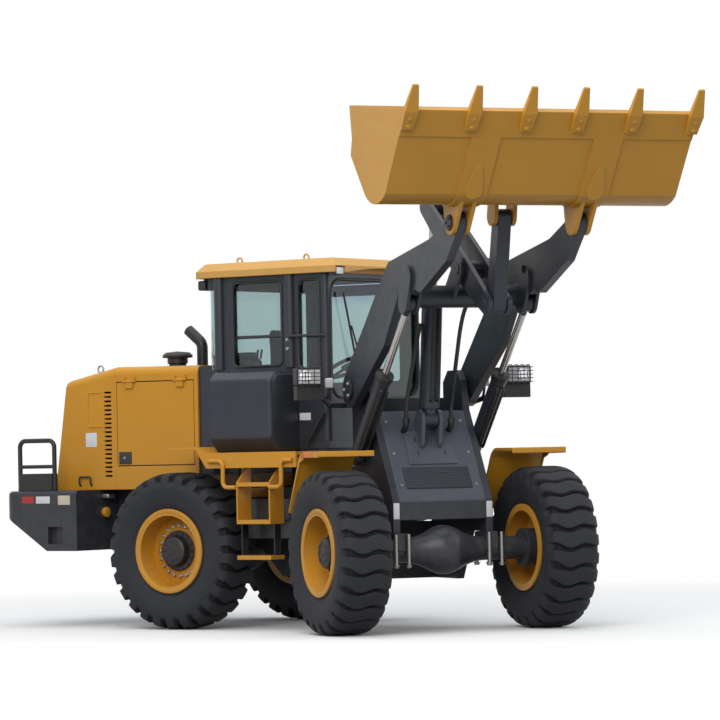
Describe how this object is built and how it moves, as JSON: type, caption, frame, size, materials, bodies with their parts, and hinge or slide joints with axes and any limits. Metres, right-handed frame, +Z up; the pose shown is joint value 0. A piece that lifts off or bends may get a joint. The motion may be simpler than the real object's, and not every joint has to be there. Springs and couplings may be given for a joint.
{
  "type": "wheel loader",
  "caption": "Articulated wheel loader with enclosed cab, rear engine hood, counterweight, big lugged tyres and a wide toothed bucket on a lever-linked lifting boom.",
  "frame": {"origin": "bottom centre of the machine's bounding box in the stored pose, on the ground", "axes": "+X forward along the rear half, +Y to its left, +Z up"},
  "size_m": [7.137, 4.187, 4.188],
  "materials": {
    "yellow_paint": "gloss paint",
    "grey_paint": "satin paint",
    "black_metal": "satin black paint",
    "rod_steel": "hard chrome",
    "wear_steel": "bare steel",
    "glass": "green tinted",
    "black_plastic": "matt black",
    "seat_cloth": "dark cloth",
    "tyre": "black rubber"
  },
  "bodies": {
    "rear": {"rear_frame_plates": "grey_paint", "rear_cross_members": "grey_paint", "counterweight": "grey_paint", "rear_axle": "grey_paint", "engine": "grey_paint", "radiator": "grey_paint", "transmission": "grey_paint", "hood_front": "yellow_paint", "hood_rear": "yellow_paint", "grille": "black_metal", "pre_cleaner": "black_plastic", "exhaust_stack": "black_metal", "decks": "yellow_paint", "ladders": "yellow_paint", "hydraulic_tank": "black_metal", "fuel_tank": "grey_paint", "battery_box": "grey_paint", "tail_guards": "black_metal", "cab_floor": "grey_paint", "cab_front": "grey_paint", "cab_rear": "grey_paint", "cab_right": "grey_paint", "cab_left": "grey_paint", "cab_roof": "yellow_paint", "cab_glass": "glass", "seat": "seat_cloth", "console": "black_plastic"},
    "front": {"front_frame_plates": "grey_paint", "front_cross_members": "grey_paint", "front_cover": "grey_paint", "front_axle": "grey_paint", "front_fenders": "yellow_paint", "head_lamps": "black_plastic"},
    "boom": {"boom": "grey_paint"},
    "bucket": {"bucket": "yellow_paint", "bucket_teeth": "wear_steel"},
    "bellcrank": {"bellcrank": "grey_paint"},
    "link": {"link": "grey_paint"},
    "tilt_barrel": {"tilt_barrel": "grey_paint"},
    "tilt_rod": {"tilt_rod": "rod_steel"},
    "cab_door": {"cab_door": "grey_paint", "glass_door": "glass"},
    "hood_door_left": {"hood_door_left": "yellow_paint"},
    "hood_door_right": {"hood_door_right": "yellow_paint"},
    "lift_barrel_left": {"lift_barrel_left": "grey_paint"},
    "lift_rod_left": {"lift_rod_left": "rod_steel"},
    "steer_barrel_left": {"steer_barrel_left": "grey_paint"},
    "steer_rod_left": {"steer_rod_left": "rod_steel"},
    "lift_barrel_right": {"lift_barrel_right": "grey_paint"},
    "lift_rod_right": {"lift_rod_right": "rod_steel"},
    "steer_barrel_right": {"steer_barrel_right": "grey_paint"},
    "steer_rod_right": {"steer_rod_right": "rod_steel"},
    "wheel_front_left": {"tyre_front_left": "tyre", "rim_front_left": "yellow_paint"},
    "wheel_front_right": {"tyre_front_right": "tyre", "rim_front_right": "yellow_paint"},
    "wheel_rear_left": {"tyre_rear_left": "tyre", "rim_rear_left": "yellow_paint"},
    "wheel_rear_right": {"tyre_rear_right": "tyre", "rim_rear_right": "yellow_paint"}
  },
  "joints": [
    {"name": "steer", "type": "hinge", "parent": "rear", "child": "front", "pos_m": [-0.27854, 0.93752, 1.08], "axis": [0, 0, 1], "range_deg": [-6, 70]},
    {"name": "wheel_front_left", "type": "hinge", "parent": "front", "child": "wheel_front_left", "pos_m": [1.34325, 0.98538, 0.66], "axis": [0.5299, 0.848, 0], "continuous": true},
    {"name": "wheel_front_right", "type": "hinge", "parent": "front", "child": "wheel_front_right", "pos_m": [0.3894, -0.54111, 0.66], "axis": [0.5299, 0.848, 0], "continuous": true},
    {"name": "wheel_rear_left", "type": "hinge", "parent": "rear", "child": "wheel_rear_left", "pos_m": [-1.67854, 1.83752, 0.66], "axis": [0, 1, 0], "continuous": true},
    {"name": "wheel_rear_right", "type": "hinge", "parent": "rear", "child": "wheel_rear_right", "pos_m": [-1.67854, 0.03752, 0.66], "axis": [0, 1, 0], "continuous": true},
    {"name": "boom", "type": "hinge", "parent": "front", "child": "boom", "pos_m": [0.3575, 0.54008, 1.975], "axis": [-0.5299, -0.848, 0], "range_deg": [-68.5, 15.4]},
    {"name": "bucket", "type": "hinge", "parent": "boom", "child": "bucket", "pos_m": [2.2232, -0.62574, 3.21], "axis": [0.5299, 0.848, 0], "range_deg": [-52, 114]},
    {"name": "lift_barrel_left", "type": "hinge", "parent": "front", "child": "lift_barrel_left", "pos_m": [0.67122, 0.94779, 1.42], "axis": [-0.5299, -0.848, 0], "range_deg": [-60.84, 13.69]},
    {"name": "lift_rod_left", "type": "slide", "parent": "lift_barrel_left", "child": "lift_rod_left", "axis": [0.5853, -0.3657, 0.7236], "range_m": [-0.60001, 0.13505]},
    {"name": "lift_barrel_right", "type": "hinge", "parent": "front", "child": "lift_barrel_right", "pos_m": [0.12858, 0.07939, 1.42], "axis": [-0.5299, -0.848, 0], "range_deg": [-60.84, 13.69]},
    {"name": "lift_rod_right", "type": "slide", "parent": "lift_barrel_right", "child": "lift_rod_right", "axis": [0.5853, -0.3657, 0.7236], "range_m": [-0.60001, 0.13505]},
    {"name": "tilt_barrel", "type": "hinge", "parent": "front", "child": "tilt_barrel", "pos_m": [0.67127, 0.34401, 1.72], "axis": [-0.5299, -0.848, 0], "range_deg": [-70.56, 15.87]},
    {"name": "tilt_rod", "type": "slide", "parent": "tilt_barrel", "child": "tilt_rod", "axis": [0.0974, -0.0609, 0.9934], "range_m": [-0.49635, 0.11174]},
    {"name": "bellcrank", "type": "hinge", "parent": "boom", "child": "bellcrank", "pos_m": [1.45996, -0.14881, 2.9], "axis": [0.5299, 0.848, 0], "range_deg": [-38.77, 17.69]},
    {"name": "link", "type": "hinge", "parent": "bellcrank", "child": "link", "pos_m": [1.84158, -0.38727, 2.6], "axis": [0.5299, 0.848, 0], "range_deg": [-19.77, 43.33]},
    {"name": "steer_barrel_left", "type": "hinge", "parent": "rear", "child": "steer_barrel_left", "pos_m": [-0.92854, 1.21752, 0.9], "axis": [0, 0, 1], "range_deg": [-1.39, 16.11]},
    {"name": "steer_rod_left", "type": "slide", "parent": "steer_barrel_left", "child": "steer_rod_left", "axis": [0.99, -0.1414, 0], "range_m": [-0.34961, 0.03015]},
    {"name": "steer_barrel_right", "type": "hinge", "parent": "rear", "child": "steer_barrel_right", "pos_m": [-0.92854, 0.65752, 0.9], "axis": [0, 0, 1], "range_deg": [-1.39, 16.11]},
    {"name": "steer_rod_right", "type": "slide", "parent": "steer_barrel_right", "child": "steer_rod_right", "axis": [0.9911, -0.1331, 0], "range_m": [-0.03015, 0.34961]},
    {"name": "cab_door", "type": "hinge", "parent": "rear", "child": "cab_door", "pos_m": [-1.33854, 1.63052, 2.18], "axis": [0, 0, 1], "range_deg": [0, 90]},
    {"name": "hood_door_left", "type": "hinge", "parent": "rear", "child": "hood_door_left", "pos_m": [-2.12854, 1.61852, 2.11], "axis": [1, 0, 0], "range_deg": [0, 75]},
    {"name": "hood_door_right", "type": "hinge", "parent": "rear", "child": "hood_door_right", "pos_m": [-2.12854, 0.25652, 2.11], "axis": [-1, 0, 0], "range_deg": [0, 75]}
  ],
  "couplings": [
    {"joint": "lift_barrel_left", "follows": "boom", "ratio": 0.888},
    {"joint": "lift_rod_left", "follows": "boom", "m_per_rad": 0.5017},
    {"joint": "lift_barrel_right", "follows": "boom", "ratio": 0.888},
    {"joint": "lift_rod_right", "follows": "boom", "m_per_rad": 0.5017},
    {"joint": "tilt_barrel", "follows": "boom", "ratio": 1.03},
    {"joint": "tilt_rod", "follows": "boom", "m_per_rad": 0.415},
    {"joint": "bellcrank", "follows": "bucket", "ratio": -0.34},
    {"joint": "link", "follows": "bucket", "ratio": 0.38},
    {"joint": "steer_barrel_left", "follows": "steer", "ratio": 0.23},
    {"joint": "steer_rod_left", "follows": "steer", "m_per_rad": -0.286},
    {"joint": "steer_barrel_right", "follows": "steer", "ratio": 0.23},
    {"joint": "steer_rod_right", "follows": "steer", "m_per_rad": 0.286}
  ]
}
